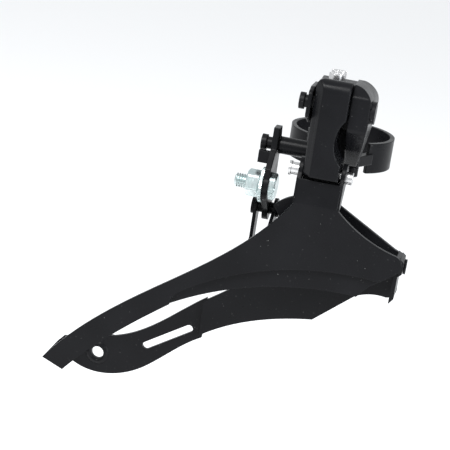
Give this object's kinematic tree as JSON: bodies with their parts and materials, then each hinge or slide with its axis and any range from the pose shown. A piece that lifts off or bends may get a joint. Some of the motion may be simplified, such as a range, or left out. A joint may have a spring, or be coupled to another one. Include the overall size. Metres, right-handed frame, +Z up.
{
  "type": "front derailleur",
  "caption": "Bicycle front derailleur with a seat tube band clamp, a sprung four-pivot linkage, two limit screws, a cable anchor and a long two-plate chain cage.",
  "frame": {"origin": "on the seat tube's axis, half way up the clamp band", "axes": "+Z up the seat tube, +X towards the front of the bicycle, +Y inboard towards the frame; the drive side is -Y"},
  "size_m": [0.1116, 0.0761, 0.1153],
  "materials": {
    "black_paint": "semi-gloss black paint over pressed steel",
    "cast_black": "semi-gloss black paint over die-cast metal",
    "black_steel": "blackened steel",
    "bright_steel": "bright nickel-plated steel",
    "zinc_steel": "blue-white zinc plating",
    "spring_steel": "bare spring wire"
  },
  "bodies": {
    "root": {"base_member": "cast_black", "clamp_band_fixed": "black_paint", "clamp_hinge_pin": "black_steel", "band_rivets": "black_steel", "upper_outer_pin": "black_steel", "upper_inner_pin": "black_steel"},
    "clamp_swing": {"clamp_band_swing": "black_paint"},
    "clamp_screw": {"clamp_bolt": "zinc_steel", "clamp_washer": "zinc_steel"},
    "outer_arm": {"outer_link": "cast_black", "return_spring": "spring_steel"},
    "inner_arm": {"inner_link": "black_paint", "cable_anchor_bolt": "zinc_steel"},
    "cable_nut": {"cable_anchor_nut": "zinc_steel", "cable_anchor_washer": "zinc_steel"},
    "cage": {"cage_outer_plate": "black_paint", "cage_inner_plate": "black_paint", "cage_front_rivet": "black_steel", "lower_outer_pin": "bright_steel", "lower_inner_pin": "black_steel", "cage_tail_rivet": "black_steel"},
    "low_screw": {"limit_screw_low": "bright_steel"},
    "high_screw": {"limit_screw_high": "bright_steel"}
  },
  "joints": [
    {"name": "outer_link_swing", "type": "hinge", "parent": "root", "child": "outer_arm", "pos_m": [0, -0.0415, 0.0208], "axis": [-1, 0, 0], "range_deg": [0, 40], "stiffness_Nm_per_rad": 0.12, "springref_deg": -51.57, "deforming": ["return_spring"]},
    {"name": "cage_pivot", "type": "hinge", "parent": "outer_arm", "child": "cage", "pos_m": [0, -0.04, -0.0011], "axis": [-1, 0, 0], "range_deg": [-41, 1]},
    {"name": "inner_link_swing", "type": "hinge", "parent": "root", "child": "inner_arm", "pos_m": [0, -0.022, 0.0012], "axis": [-1, 0, 0], "range_deg": [-1, 41]},
    {"name": "clamp_open", "type": "hinge", "parent": "root", "child": "clamp_swing", "pos_m": [0.0066, -0.0196, 0], "axis": [0, 0, -1], "range_deg": [0, 60]},
    {"name": "clamp_bolt_out", "type": "slide", "parent": "root", "child": "clamp_screw", "axis": [-1, 0, 0], "range_m": [0, 0.012]},
    {"name": "anchor_nut_loosen", "type": "slide", "parent": "inner_arm", "child": "cable_nut", "axis": [-1, 0, 0], "range_m": [0, 0.003]},
    {"name": "low_limit_adjust", "type": "slide", "parent": "root", "child": "low_screw", "axis": [0, 0, 1], "range_m": [0, 0.003]},
    {"name": "high_limit_adjust", "type": "slide", "parent": "root", "child": "high_screw", "axis": [0, 0, 1], "range_m": [0, 0.003]}
  ],
  "couplings": [
    {"joint": "cage_pivot", "follows": "outer_link_swing", "ratio": -1},
    {"joint": "inner_link_swing", "follows": "outer_link_swing", "ratio": 1}
  ]
}
